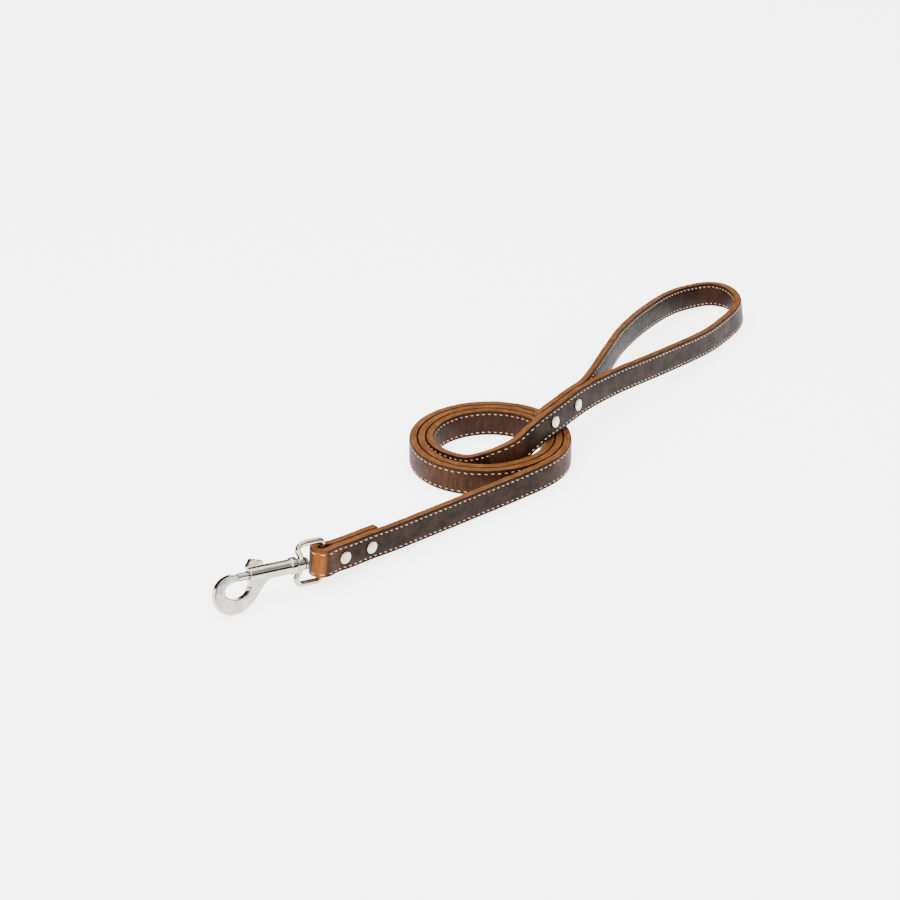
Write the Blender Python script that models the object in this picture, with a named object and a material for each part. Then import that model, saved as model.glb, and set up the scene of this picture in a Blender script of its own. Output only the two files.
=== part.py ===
"""A two-ply leather training leash, coiled on edge, with a swivel bolt snap and a hand loop at its ends.

The frame: metres, +Z up, the surface it lies on is z = 0, and +X runs along the laid-out leash, from
snap to hand loop.
"""

import math

import bmesh
import bpy
import numpy as np
from mathutils import Matrix, Vector

MM = 0.001

# ---- driving sizes ----
STRAP_WIDTH = 15.9 * MM  # a 5/8 inch strap, standing on its edge
PLY = 2.1 * MM  # one of the two leathers sewn back to back
GAP = 0.3 * MM  # between pieces that touch
COIL_GAP = 0.4 * MM  # between turns of the coil
COIL_RADIUS = 45.15 * MM  # middle of the strap in the outermost turn
CROSS_CLEARANCE = 1.7 * MM  # the strap passes this far above the coil's wall

BAR_RADIUS = 1.7 * MM  # wire of the eye, where the strap wraps it
EYE_HEIGHT = 20.9 * MM  # clear height inside the eye, for the strap
EYE_DEPTH = 13.4 * MM  # from the bar to the front wire, centre to centre
EYE_BOW = 2.0 * MM  # how far the eye's corners stand ahead of its hub
EYE_BACK_CORNER = 3.0 * MM  # radii the wire's middle bends by, at the bar and at the front
EYE_FRONT_CORNER = 4.5 * MM
FLOOR_GAP = 0.7 * MM  # the eye's lowest point above the surface

RIVET_HEAD = 3.6 * MM  # radius of the rivet caps
RIVET_DOME = 1.2 * MM
RIVET_POST = 1.3 * MM
TUBE_WALL = 0.4 * MM  # wall of the tubular lower half of a rivet

BARREL_RADIUS = 4.15 * MM
BORE_RADIUS = 2.5 * MM
BARREL_LENGTH = 24.6 * MM
COLLAR_RADIUS = 4.9 * MM
COLLAR_LENGTH = 4.2 * MM
SHANK_RADIUS = 1.5 * MM
SHANK_HEAD = 3.6 * MM
FLANGE = 1.6 * MM  # thickness of the swivel pin's flange
HUB_RADIUS = 3.5 * MM
HUB_LENGTH = 4.4 * MM
BOLT_TRAVEL = 7.0 * MM  # the gate's width: the bolt clears it when drawn back
HOOK_THICKNESS = 4.4 * MM
HOOK_BEVEL = 0.9 * MM
HOOK_ROLL = 16.0  # degrees from hanging straight down to where the hook lies, about the snap's own axis
STEM_RADIUS = 1.0 * MM  # the thumb stud's stem, that runs in the barrel's slot
STEM_BACK = 5.0 * MM  # from the barrel's front to the stem
BOLT_INSIDE = 7.7 * MM  # how much of the bolt stays inside the barrel
SPRING_WIRE = 0.3 * MM
SPRING_TURNS = 7

STATION_STEP = 4.0 * MM  # the strap's sections: at most this far apart
STATION_TURN = 12.0  # and turning at most this many degrees

# ---- places, in plan ----
MIDDLE = 2.7  # mm the route's x values are moved by, so that the origin is below the middle of the leash
COIL_TOUCH = np.array([MIDDLE - 29.08, -44.71]) * MM  # where the lead runs into the coil's outermost turn
BAR_PLACE = np.array([MIDDLE - 195.0, -7.6]) * MM
SNAP_HEADING = 156.5  # degrees from +X: the way the snap points
SNAP_PITCH = 4.4  # and how far it rises towards its tip, to rest on the hook
LAP_HEADING = -13.0  # the way the strap leaves the eye
DRAW_IN = 9.0 * MM  # from the bar to where the strap's two ends lie together

# ---- derived sizes ----
STRAP = 2 * PLY + GAP  # thickness of the sewn strap
LAP = STRAP + GAP  # centre to centre of two straps riveted together
PITCH = STRAP + COIL_GAP
FOLD_RADIUS = BAR_RADIUS + 1.5 * GAP + STRAP / 2
EYE_CENTRE = EYE_HEIGHT / 2 + BAR_RADIUS  # the arms' distance from the snap's axis
AXIS_HEIGHT = EYE_CENTRE + BAR_RADIUS + FLOOR_GAP  # at the bar
SLOPE = math.tan(math.radians(SNAP_PITCH))  # of the strap where it leaves the eye
LEAD_OFFSET = 0.625 * LAP  # the lead's middle, off the line through the bar
END_LIFT = AXIS_HEIGHT - STRAP_WIDTH / 2  # the strap's lower edge where it holds the eye
CROSS_HEIGHT = STRAP_WIDTH + CROSS_CLEARANCE
COLLAR_BACK = EYE_DEPTH + HUB_LENGTH / 2 + GAP
COLLAR_FRONT = COLLAR_BACK + COLLAR_LENGTH
BARREL_FRONT = COLLAR_FRONT + BARREL_LENGTH
NOSE = BARREL_FRONT + BOLT_TRAVEL  # where the bolt meets the hook
BOLT_RADIUS = BORE_RADIUS - GAP
BOLT_BACK = BARREL_FRONT - BOLT_INSIDE
STEM_PLACE = BARREL_FRONT - STEM_BACK

# ---- the strap's route: (x mm, y mm, height as a share, lean in degrees towards its left) ----
# Heights along the lead are shares of END_LIFT, and from the coil's end on of CROSS_HEIGHT.
LEAD = [
    (-165.0, -16.6, 0.66, 0), (-154.6, -18.9, 0.55, 0), (-140.4, -21.8, 0.42, 0), (-121.6, -25.3, 0.28, 0),
    (-102.6, -29.1, 0.16, 0), (-83.4, -33.0, 0.06, 0), (-64.1, -37.4, 0.0, 0), (-46.5, -41.6, 0.0, 0),
]  # fmt: skip
COIL_START, COIL_END = -98.0, 845.0  # degrees about the coil's centre
COIL_CENTRE = COIL_TOUCH - COIL_RADIUS * np.array(
    [math.cos(math.radians(COIL_START)), math.sin(math.radians(COIL_START))]
)
STEP_IN = (160.0, 258.0)  # the stretch of each turn where it moves in by one thickness
# The way out of the coil: (degrees about its centre, mm inside the innermost turn, height, lean).
WAY_OUT = [
    (860, 0.8, 0.0, 0), (875, 2.3, 0.0, 0), (891, 4.1, 0.0, 0), (907, 5.4, 0.03, 0),
    (922, 7.1, 0.11, 1), (936, 7.9, 0.22, 2), (950, 7.5, 0.37, 3),
]  # fmt: skip
NEAR_SIDE = [
    (-32.2, -26.7, 0.60, 4), (-24.5, -28.4, 0.76, 5), (-16.5, -29.4, 0.90, 6), (-8.0, -29.8, 0.97, 7),
    (2.0, -29.9, 1.0, 7), (14.0, -29.4, 1.01, 7), (26.4, -28.6, 1.0, 7), (38.4, -28.0, 0.97, 6),
    (50.3, -27.7, 0.92, 5), (61.6, -27.6, 0.86, 4), (73.2, -27.8, 0.80, 3), (94.7, -28.7, 0.66, 2),
    (117.1, -29.6, 0.51, 2), (140.1, -30.4, 0.36, 2), (163.5, -31.0, 0.22, 2), (182.7, -30.6, 0.12, 3),
    (198.7, -29.2, 0.06, 5), (215.2, -27.3, 0.02, 6),
]  # fmt: skip
LOOP_END = [
    (227.8, -24.5, 0.0, 7), (238.6, -19.1, 0.0, 8), (246.5, -10.6, 0.0, 8), (250.0, -1.0, 0.01, 6),
    (247.2, 6.6, 0.03, 3), (240.2, 11.2, 0.07, 0), (231.5, 13.8, 0.12, -2), (217.5, 15.8, 0.22, -4),
]  # fmt: skip
FAR_SIDE = [
    (203.8, 15.8, 0.32, -4), (189.7, 14.6, 0.41, -4), (173.5, 12.4, 0.51, -3), (157.7, 9.6, 0.61, -3),
    (138.5, 5.3, 0.72, -3), (119.4, 0.3, 0.82, -3), (103.0, -5.0, 0.88, -3), (86.7, -10.5, 0.93, -4),
    (70.5, -16.0, 0.96, -5), (57.5, -20.2, 0.98, -6),
]  # fmt: skip
# Where along the strap the rivets and the folded-back ends are, from the bar and from the near side's x.
SNAP_RIVETS = (12.2 * MM, 31.8 * MM)
SNAP_LAP_END = 40.0 * MM
HANDLE_RIVETS = (-1.4 * MM, 24.4 * MM)
HANDLE_LAP_START, HANDLE_LAP_END = 40.0 * MM, -7.0 * MM

LEATHER = ("leather_dark", (0.085, 0.045, 0.028, 1), 0.55, 0.0)
LINING = ("leather_lining", (0.10, 0.052, 0.031, 1), 0.58, 0.0)
NICKEL = ("polished_nickel", (0.80, 0.79, 0.76, 1), 0.14, 1.0)
RIVET_METAL = ("rivet_nickel", (0.74, 0.71, 0.62, 1), 0.3, 1.0)
SPRING_STEEL = ("spring_steel", (0.55, 0.55, 0.56, 1), 0.3, 1.0)


# ---- helpers ----
def clear_scene():
    for ob in list(bpy.data.objects):
        bpy.data.objects.remove(ob, do_unlink=True)


def material(spec):
    """The Principled material called spec[0], made once."""
    name, colour, roughness, metallic = spec
    found = bpy.data.materials.get(name)
    if found:
        return found
    made = bpy.data.materials.new(name)
    made.use_nodes = True
    shader = made.node_tree.nodes["Principled BSDF"]
    shader.inputs["Base Color"].default_value = colour
    shader.inputs["Roughness"].default_value = roughness
    shader.inputs["Metallic"].default_value = metallic
    made.diffuse_color = colour
    return made


def empty(name, place, rotation, parent=None):
    """A joint's frame: an empty whose origin is on the joint's axis."""
    ob = bpy.data.objects.new(name, None)
    ob.empty_display_size = 0.01
    ob.matrix_basis = Matrix.Translation(place) @ rotation.to_4x4()
    ob.parent = parent
    bpy.context.scene.collection.objects.link(ob)
    return ob


def mesh_object(name, bm, spec, parent=None, smooth_angle=35.0):
    """The named piece made from bm, in spec's material."""
    bmesh.ops.recalc_face_normals(bm, faces=bm.faces[:])
    mesh = bpy.data.meshes.new(name)
    bm.to_mesh(mesh)
    bm.free()
    mesh.materials.append(material(spec))
    mesh.shade_smooth()
    mesh.set_sharp_from_angle(angle=math.radians(smooth_angle))
    ob = bpy.data.objects.new(name, mesh)
    ob.parent = parent
    bpy.context.scene.collection.objects.link(ob)
    return ob


def boolean(ob, tool, operation="DIFFERENCE"):
    """Joins the tool to the piece, or cuts it out of it. The tool stays as a hidden guide."""
    tool.hide_render = True
    tool.display_type = "WIRE"
    made = ob.modifiers.new(tool.name, "BOOLEAN")
    made.operation = operation
    made.solver = "EXACT"
    made.object = tool


def swept(rings, closed=False):
    """A skin over rings of points, with caps on its ends unless it closes on itself."""
    bm = bmesh.new()
    loops = [[bm.verts.new(p) for p in ring] for ring in rings]
    pairs = list(zip(loops, loops[1:]))
    if closed:
        pairs.append((loops[-1], loops[0]))
    for a, b in pairs:
        count = len(a)
        for i in range(count):
            j = (i + 1) % count
            bm.faces.new((a[i], a[j], b[j], b[i]))
    if not closed:
        bm.faces.new(loops[0][::-1])
        bm.faces.new(loops[-1])
    return bm


def tube_rings(points, radius, sides, normal):
    """Round sections about a path. normal is a direction that the path never runs along."""
    points = np.asarray(points, float)
    ahead = np.roll(points, -1, 0) - np.roll(points, 1, 0)
    ahead[0], ahead[-1] = points[1] - points[0], points[-1] - points[-2]
    if np.allclose(points[0], points[-1]):
        points = points[:-1]
        ahead = np.roll(points, -1, 0) - np.roll(points, 1, 0)
    rings = []
    for point, along in zip(points, ahead):
        along = along / np.linalg.norm(along)
        side = np.cross(along, normal)
        side /= np.linalg.norm(side)
        up = np.cross(side, along)
        turn = np.linspace(0, 2 * math.pi, sides, endpoint=False)
        rings.append([point + radius * (math.cos(t) * side + math.sin(t) * up) for t in turn])
    return rings


def turned(profile, sides=32):
    """A solid turned about X, from (x, radius) points; a radius of 0 closes an end."""
    bm = bmesh.new()
    loops = []
    for x, radius in profile:
        if radius == 0:
            loops.append([bm.verts.new((x, 0, 0))])
            continue
        turn = np.linspace(0, 2 * math.pi, sides, endpoint=False)
        loops.append([bm.verts.new((x, radius * math.cos(t), radius * math.sin(t))) for t in turn])
    for a, b in zip(loops, loops[1:]):
        for i in range(sides):
            j = (i + 1) % sides
            corners = [a[i % len(a)], a[j % len(a)], b[j % len(b)], b[i % len(b)]]
            bm.faces.new(list(dict.fromkeys(corners)))
    return bm


def block(low, high):
    """A box between two corners."""
    bm = bmesh.new()
    low, high = Vector(low), Vector(high)
    size = high - low
    place = Matrix.Translation((low + high) / 2) @ Matrix.Diagonal((*size, 1))
    bmesh.ops.create_cube(bm, size=1.0, matrix=place)
    return bm


def plate(outline, thickness):
    """An outline in the XY plane, made solid to half the thickness on each side of it."""
    bm = bmesh.new()
    face = bm.faces.new([bm.verts.new((x, y, -thickness / 2)) for x, y in outline])
    raised = bmesh.ops.extrude_face_region(bm, geom=[face])["geom"]
    moved = [v for v in raised if isinstance(v, bmesh.types.BMVert)]
    bmesh.ops.translate(bm, vec=(0, 0, thickness), verts=moved)
    return bm


def spline(points, step):
    """A natural cubic curve through the points, by the length of their chords, read every step."""
    points = np.asarray(points, float)
    chord = np.linalg.norm(np.diff(points[:, :3], axis=0), axis=1)
    at = np.concatenate([[0.0], np.cumsum(chord)])
    count = len(points)
    matrix = np.eye(count)
    right = np.zeros_like(points)
    for i in range(1, count - 1):
        matrix[i, i - 1 : i + 2] = chord[i - 1], 2 * (chord[i - 1] + chord[i]), chord[i]
        right[i] = 6 * ((points[i + 1] - points[i]) / chord[i] - (points[i] - points[i - 1]) / chord[i - 1])
    bend = np.linalg.solve(matrix, right)
    read = np.linspace(0, at[-1], int(at[-1] / step) + 1)
    i = np.clip(np.searchsorted(at, read, side="right") - 1, 0, count - 2)
    before, after, span = (read - at[i])[:, None], (at[i + 1] - read)[:, None], chord[i][:, None]
    return (
        (bend[i] * after**3 + bend[i + 1] * before**3) / (6 * span)
        + (points[i] / span - bend[i] * span / 6) * after
        + (points[i + 1] / span - bend[i + 1] * span / 6) * before
    )


def frames(path):
    """Along, across (to the left) and up for each point of a path of x, y, z and lean."""
    along = np.gradient(path[:, :3], axis=0)
    along /= np.linalg.norm(along, axis=1)[:, None]
    across = np.cross((0, 0, 1.0), along)
    across /= np.linalg.norm(across, axis=1)[:, None]
    up = np.cross(along, across)
    lean = np.radians(path[:, 3])[:, None]
    return along, across * np.cos(lean) - up * np.sin(lean), up * np.cos(lean) + across * np.sin(lean)


# ---- the strap's path: its lower edge's middle, as x, y, z and lean ----
def heading(degrees):
    return np.array([math.cos(math.radians(degrees)), math.sin(math.radians(degrees))])


def from_route(route, height):
    """Route points in metres, their heights as shares of height."""
    return [((MIDDLE + x) * MM, y * MM, share * height, lean) for x, y, share, lean in route]


def coil_radius(degrees):
    """Each turn is round, and steps in by one thickness where it passes inside the turn before."""
    turn, within = divmod(degrees, 360)
    share = min(max((within - STEP_IN[0]) / (STEP_IN[1] - STEP_IN[0]), 0), 1)
    return COIL_RADIUS - PITCH * (turn + share * share * (3 - 2 * share))


def about_coil(degrees, radius):
    return COIL_CENTRE + radius * heading(degrees)


def coil_path():
    count = int((COIL_END - COIL_START) / 12)
    turned_by = [d + 360 for d in np.linspace(COIL_START, COIL_END, count)]
    return [(*about_coil(d, coil_radius(d) + PITCH), 0.0, 0.0) for d in turned_by]


def way_out():
    inner = coil_radius(COIL_END + 360) + PITCH
    return [
        (*about_coil(degrees, inner - drop * MM), share * CROSS_HEIGHT, lean)
        for degrees, drop, share, lean in WAY_OUT
    ]


def fold_path():
    """Round the eye's bar, from the folded-back end's side to the lead's side, square to the tilted bar."""
    points = []
    for turn in range(0, 181, 30):
        back = math.sin(math.radians(turn))
        place = bar_foot() + FOLD_RADIUS * heading(LAP_HEADING + 90 + turn)
        points.append((*place, END_LIFT + SLOPE * FOLD_RADIUS * back, SNAP_PITCH * back))
    return points


def bar_foot():
    """The tilted bar's place in plan, at the height of the strap's lower edge."""
    return BAR_PLACE + SLOPE * STRAP_WIDTH / 2 * heading(SNAP_HEADING)


def beside_bar(side, offset, shares):
    """The strap from the bar on, drawn in from the fold's width to its offset in the lap, over DRAW_IN."""
    along, across = heading(LAP_HEADING), heading(LAP_HEADING + side * 90)
    points = []
    for share in shares:
        drawn = min(share, 1)
        out = offset + (FOLD_RADIUS - offset) * (1 - drawn * drawn * (3 - 2 * drawn))
        place = bar_foot() + along * share * DRAW_IN + across * out
        points.append((*place, END_LIFT - SLOPE * share * DRAW_IN, 0.0))
    return points


def nearest(path, x, among):
    """The index of the path's point at the route's x, among a range of its indices."""
    return among[0] + int(np.argmin(np.abs(path[among[0] : among[1], 0] - MIDDLE * MM - x)))


def strap_path():
    """The whole strap from its end at the snap to its end at the hand loop, and where its rivets go."""
    fine = 0.5 * MM
    lead = beside_bar(-1, LEAD_OFFSET, (0.25, 0.5, 0.75, 1.0, 1.4, 1.8)) + from_route(LEAD, END_LIFT)
    loop = way_out() + from_route(NEAR_SIDE + LOOP_END + FAR_SIDE, CROSS_HEIGHT)
    run = spline(fold_path()[-2:] + lead + coil_path() + loop, fine)
    along, across, up = frames(run)
    far = np.cumsum(np.linalg.norm(np.diff(run[:, :3], axis=0), axis=1))
    beside = np.column_stack([run[:, :3] + across * LAP, -run[:, 3]])

    bar_at = int(np.argmin(np.abs(run[:40, 0] - fold_path()[-1][0])))
    ends = [bar_at + int(s / fine) for s in (1.15 * DRAW_IN, SNAP_LAP_END)]
    snap_tail = beside[np.linspace(ends[1], ends[0], 6).astype(int)]
    fold = beside_bar(1, LAP - LEAD_OFFSET, (0.75, 0.5, 0.25)) + fold_path()

    start = int(np.argmax(far > far[-1] - 560 * MM))
    stop = int(np.argmax(run[:, 0]))
    ends = [nearest(run, x, (start, stop)) for x in (HANDLE_LAP_START, HANDLE_LAP_END)]
    loop_tail = beside[np.linspace(ends[0], ends[1], 8).astype(int)]

    whole = spline([*snap_tail, *fold, *lead, *coil_path(), *loop, *loop_tail], fine)
    whole[:, 2] = np.maximum(whole[:, 2], STRAP / 2 * np.abs(np.sin(np.radians(whole[:, 3]))))
    rivets = [bar_at + int(s / fine) for s in SNAP_RIVETS]
    rivets += [nearest(run, x, (start, stop)) for x in HANDLE_RIVETS]
    places = [(run[i, :3] + up[i] * STRAP_WIDTH / 2, along[i], across[i], up[i]) for i in rivets]
    return whole, places


def stations(path):
    """Every point of the path at which the strap has gone or turned far enough for a new section."""
    along, across, up = frames(path)
    chosen, last = [0], 0
    for i in range(1, len(path) - 1):
        gone = np.linalg.norm(path[i, :3] - path[last, :3])
        turned_by = math.degrees(math.acos(min(1.0, float(along[i] @ along[last]))))
        if gone >= STATION_STEP or turned_by >= STATION_TURN:
            chosen.append(i)
            last = i
    chosen.append(len(path) - 1)
    return path[chosen, :3], across[chosen], up[chosen]


def strap_ply(name, spec, path, inner, outer):
    """One leather: the strap between two distances to its left."""
    rings = [
        [p + n * inner, p + n * outer, p + n * outer + u * STRAP_WIDTH, p + n * inner + u * STRAP_WIDTH]
        for p, n, u in zip(*stations(path))
    ]
    return mesh_object(name, swept(rings), spec)


# ---- rivets ----
def rivet(name, place, plies):
    """Through two straps: a cap with a solid post, and a cap with a tube that the post is pressed into."""
    middle, along, across, up = place
    turn = Matrix((across, up, np.cross(across, up))).transposed()
    joint = empty(name, Vector(middle), turn)
    front, back = -STRAP / 2 - GAP, STRAP / 2 + LAP + GAP
    edge = 0.35 * RIVET_DOME
    tip = back - 0.2 * MM
    cap = turned([
        (front - RIVET_DOME, 0), (front - RIVET_DOME, 0.55 * RIVET_HEAD),
        (front - 0.75 * RIVET_DOME, 0.86 * RIVET_HEAD), (front - edge, RIVET_HEAD), (front, RIVET_HEAD),
        (front, RIVET_POST), (tip, RIVET_POST), (tip, 0),
    ], 24)  # fmt: skip
    mesh_object(name + "_cap", cap, RIVET_METAL, joint)
    hollow = RIVET_POST + GAP
    shell = turned([
        (back + 0.8 * RIVET_DOME, 0), (back + 0.8 * RIVET_DOME, 0.6 * RIVET_HEAD), (back + edge, RIVET_HEAD),
        (back, RIVET_HEAD), (back, hollow + TUBE_WALL), (0, hollow + TUBE_WALL), (0, hollow),
        (tip + GAP, hollow), (tip + GAP, 0),
    ], 24)  # fmt: skip
    mesh_object(name + "_back", shell, RIVET_METAL, joint)
    hole = hollow + TUBE_WALL + GAP
    drill = turned([(front, 0), (front, hole), (back, hole), (back, 0)], 16)
    cutter = mesh_object(name + "_hole", drill, RIVET_METAL, joint)
    for ply in plies:
        boolean(ply, cutter)


# ---- swivel eye, and the pin that holds the snap to it ----
def swivel_eye(joint):
    """A closed eye of round wire: bar, two arms, and a bowed front with the swivel's hub in its middle."""
    front = EYE_DEPTH + EYE_BOW
    half = []
    for turn in np.linspace(0, 90, 6):
        short, up = 1 - math.cos(math.radians(turn)), 1 - math.sin(math.radians(turn))
        half.append((EYE_BACK_CORNER * short, EYE_CENTRE - EYE_BACK_CORNER * up))
    for turn in np.linspace(0, 80, 7):
        short, up = 1 - math.sin(math.radians(turn)), 1 - math.cos(math.radians(turn))
        half.append((front - EYE_FRONT_CORNER * short, EYE_CENTRE - EYE_FRONT_CORNER * up))
    half.append((EYE_DEPTH, COLLAR_RADIUS))
    path = [(x, 0, z) for x, z in half] + [(EYE_DEPTH, 0, 0)] + [(x, 0, -z) for x, z in half[::-1]]
    path.append(path[0])
    wire = swept(tube_rings(path, BAR_RADIUS, 12, (0, 1, 0)), closed=True)
    eye = mesh_object("swivel_eye", wire, NICKEL, joint)
    back, ahead = EYE_DEPTH - HUB_LENGTH / 2, EYE_DEPTH + HUB_LENGTH / 2
    boss = turned([(back, 0), (back, HUB_RADIUS), (ahead, HUB_RADIUS), (ahead, 0)])
    boolean(eye, mesh_object("hub_boss", boss, NICKEL, joint), "UNION")
    bore = SHANK_RADIUS + GAP
    drill = turned([(back - MM, 0), (back - MM, bore), (ahead + MM, bore), (ahead + MM, 0)])
    boolean(eye, mesh_object("hub_bore", drill, NICKEL, joint))
    return eye


def swivel_pin(joint):
    """The pin: its head is peened inside the eye, and its flange sits in the barrel, behind the spring."""
    head = EYE_DEPTH - HUB_LENGTH / 2 - GAP
    flange = COLLAR_FRONT + GAP
    profile = [
        (head - 2.1 * MM, 0), (head - 2.1 * MM, 0.5 * SHANK_HEAD), (head - 1.5 * MM, 0.9 * SHANK_HEAD),
        (head - 0.7 * MM, SHANK_HEAD), (head, SHANK_HEAD), (head, SHANK_RADIUS), (flange, SHANK_RADIUS),
        (flange, BOLT_RADIUS), (flange + FLANGE, BOLT_RADIUS), (flange + FLANGE, 0),
    ]  # fmt: skip
    return mesh_object("swivel_pin", turned(profile), NICKEL, joint)


# ---- the snap: X along its axis, Y the way its bowl hangs, Z out of its flat face ----
def curve_through(points, per_span):
    """A smooth outline through the points, as Catmull-Rom spans."""
    points = np.asarray(points, float)
    made = []
    for i in range(len(points) - 1):
        a, b, c, d = points[max(i - 1, 0)], points[i], points[i + 1], points[min(i + 2, len(points) - 1)]
        for t in np.linspace(0, 1, per_span, endpoint=False):
            bent = (2 * a - 5 * b + 4 * c - d) * t**2 + (3 * b - a - 3 * c + d) * t**3
            made.append(0.5 * (2 * b + (c - a) * t + bent))
    made.append(points[-1])
    return np.array(made)


def snap_body(joint):
    """Collar, barrel, and the flat hook whose nose the bolt closes."""
    # The hook's outside, from its nose round the bowl to under the barrel, in mm from the barrel's front.
    outside = [
        (7.0, -2.1), (10.6, -2.2), (14.0, -1.5), (17.6, 0.4), (20.3, 3.8), (21.4, 8.2),
        (20.6, 12.8), (17.9, 16.8), (13.6, 19.0), (8.4, 18.9), (3.4, 17.2), (-0.8, 14.4),
        (-4.2, 11.1), (-7.0, 7.9), (-9.7, 5.2), (-13.0, 3.6),
    ]  # fmt: skip
    outline = curve_through(outside, 3) * MM
    outline = np.vstack([outline, [(-13.0 * MM, -2.1 * MM)]]) + (BARREL_FRONT, 0)
    body = mesh_object("snap_body", plate(outline, HOOK_THICKNESS), NICKEL, joint, 50.0)
    edge = body.modifiers.new("edges", "BEVEL")
    edge.width = HOOK_BEVEL
    edge.segments = 3
    edge.limit_method = "ANGLE"
    edge.angle_limit = math.radians(60)
    centre, across, down = (BARREL_FRONT + 8.0 * MM, 6.4 * MM), 7.1 * MM, 4.7 * MM
    turn = np.linspace(0, 2 * math.pi, 36, endpoint=False)
    ring = [(centre[0] + across * math.cos(t), centre[1] + down * math.sin(t)) for t in turn]
    boolean(body, mesh_object("hook_eye", plate(ring, 4 * HOOK_THICKNESS), NICKEL, joint))
    low, high = (BARREL_FRONT, -2 * BARREL_RADIUS, -HOOK_THICKNESS), (NOSE, centre[1], HOOK_THICKNESS)
    boolean(body, mesh_object("hook_mouth", block(low, high), NICKEL, joint))
    barrel = turned([
        (COLLAR_BACK, 0), (COLLAR_BACK, 0.9 * COLLAR_RADIUS), (COLLAR_BACK + 0.5 * MM, COLLAR_RADIUS),
        (COLLAR_FRONT - 0.8 * MM, COLLAR_RADIUS), (COLLAR_FRONT, BARREL_RADIUS),
        (BARREL_FRONT - 0.4 * MM, BARREL_RADIUS), (BARREL_FRONT, BARREL_RADIUS - 0.4 * MM), (BARREL_FRONT, 0),
    ])  # fmt: skip
    boolean(body, mesh_object("barrel_outside", barrel, NICKEL, joint), "UNION")
    bore = SHANK_RADIUS + GAP
    bored = turned([
        (COLLAR_BACK - MM, 0), (COLLAR_BACK - MM, bore), (COLLAR_FRONT, bore), (COLLAR_FRONT, BORE_RADIUS),
        (NOSE - 0.01 * MM, BORE_RADIUS), (NOSE - 0.01 * MM, 0),
    ])  # fmt: skip
    boolean(body, mesh_object("barrel_bore", bored, NICKEL, joint))
    half = STEM_RADIUS + GAP
    low, high = (STEM_PLACE - BOLT_TRAVEL - half, -2 * BARREL_RADIUS, -half), (STEM_PLACE + half, 0, half)
    boolean(body, mesh_object("stud_slot", block(low, high), NICKEL, joint))
    return body


def bolt(joint):
    """The sliding bolt that closes the hook, with a blind hole for the thumb stud's stem."""
    tip = NOSE - GAP
    rod = turned([
        (BOLT_BACK, 0), (BOLT_BACK, BOLT_RADIUS), (tip - 0.5 * MM, BOLT_RADIUS),
        (tip, BOLT_RADIUS - 0.5 * MM), (tip, 0),
    ])  # fmt: skip
    piece = mesh_object("bolt", rod, NICKEL, joint)
    hole = STEM_RADIUS + GAP
    hollow = turned([(-4 * MM, 0), (-4 * MM, hole), (0, hole), (0, 0)], 16)
    drill = mesh_object("stem_hole", hollow, NICKEL, joint)
    place = Matrix.Translation((STEM_PLACE, 0.6 * MM, 0))
    drill.matrix_basis = place @ Matrix.Rotation(math.radians(90), 4, "Z")
    boolean(piece, drill)
    return piece


def thumb_stud(joint):
    """The tab that draws the bolt back, on a round stem that runs in the barrel's slot."""
    foot = -BARREL_RADIUS - GAP
    outline = [
        (1.2, 0), (0.6, -0.9), (-1.5, -3.8), (-2.4, -4.2), (-3.4, -4.1), (-8.2, -2.6),
        (-9.2, -1.8), (-9.2, 0),
    ]  # fmt: skip
    outline = [(BARREL_FRONT + x * MM, foot + y * MM) for x, y in outline]
    tab = mesh_object("thumb_stud", plate(outline, 3.0 * MM), NICKEL, joint, 40.0)
    edge = tab.modifiers.new("edges", "BEVEL")
    edge.width = 0.4 * MM
    edge.segments = 2
    edge.limit_method = "ANGLE"
    edge.angle_limit = math.radians(25)
    top = foot - 0.75 * MM
    stem = turned([(top, 0), (top, STEM_RADIUS), (-GAP, STEM_RADIUS), (-GAP, 0)], 16)
    rod = mesh_object("stud_stem", stem, NICKEL, joint)
    rod.matrix_basis = Matrix.Translation((STEM_PLACE, 0, 0)) @ Matrix.Rotation(math.radians(90), 4, "Z")
    boolean(tab, rod, "UNION")
    return tab


def bolt_spring(joint):
    """The compression spring between the pin's flange and the bolt."""
    start = COLLAR_FRONT + GAP + FLANGE + GAP + SPRING_WIRE
    end = BOLT_BACK - GAP - SPRING_WIRE
    radius = BORE_RADIUS - GAP - SPRING_WIRE
    count = SPRING_TURNS * 12 + 1
    path = []
    for i in range(count):
        turn, at = 2 * math.pi * i / 12, start + (end - start) * i / (count - 1)
        path.append((at, radius * math.cos(turn), radius * math.sin(turn)))
    return mesh_object("bolt_spring", swept(tube_rings(path, SPRING_WIRE, 6, (1, 0, 0))), SPRING_STEEL, joint)


def main():
    clear_scene()
    path, places = strap_path()
    half = STRAP / 2
    plies = [
        strap_ply("face_leather", LEATHER, path, -half, -GAP / 2),
        strap_ply("lining_leather", LINING, path, GAP / 2, half),
    ]
    for name, place in zip(("snap_rivet_1", "snap_rivet_2", "loop_rivet_1", "loop_rivet_2"), places):
        rivet(name, place, plies)

    turn = Matrix.Rotation(math.radians(SNAP_HEADING), 3, "Z")
    turn @= Matrix.Rotation(-math.radians(SNAP_PITCH), 3, "Y")
    eye_joint = empty("eye_pivot", (*BAR_PLACE, AXIS_HEIGHT), turn)
    swivel_eye(eye_joint)
    roll = Matrix.Rotation(math.radians(HOOK_ROLL - 90), 3, "X")
    snap_joint = empty("snap_swivel", (0, 0, 0), roll, eye_joint)
    swivel_pin(snap_joint)
    snap_body(snap_joint)
    bolt_spring(snap_joint)
    bolt_joint = empty("bolt_slide", (0, 0, 0), Matrix.Identity(3), snap_joint)
    bolt(bolt_joint)
    thumb_stud(bolt_joint)


main()
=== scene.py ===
"""The training leash's looks: leather, stitches, rivets and a cast nickel snap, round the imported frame."""

import math

import bmesh
import bpy
import numpy as np
from mathutils import Matrix, Vector


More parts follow.
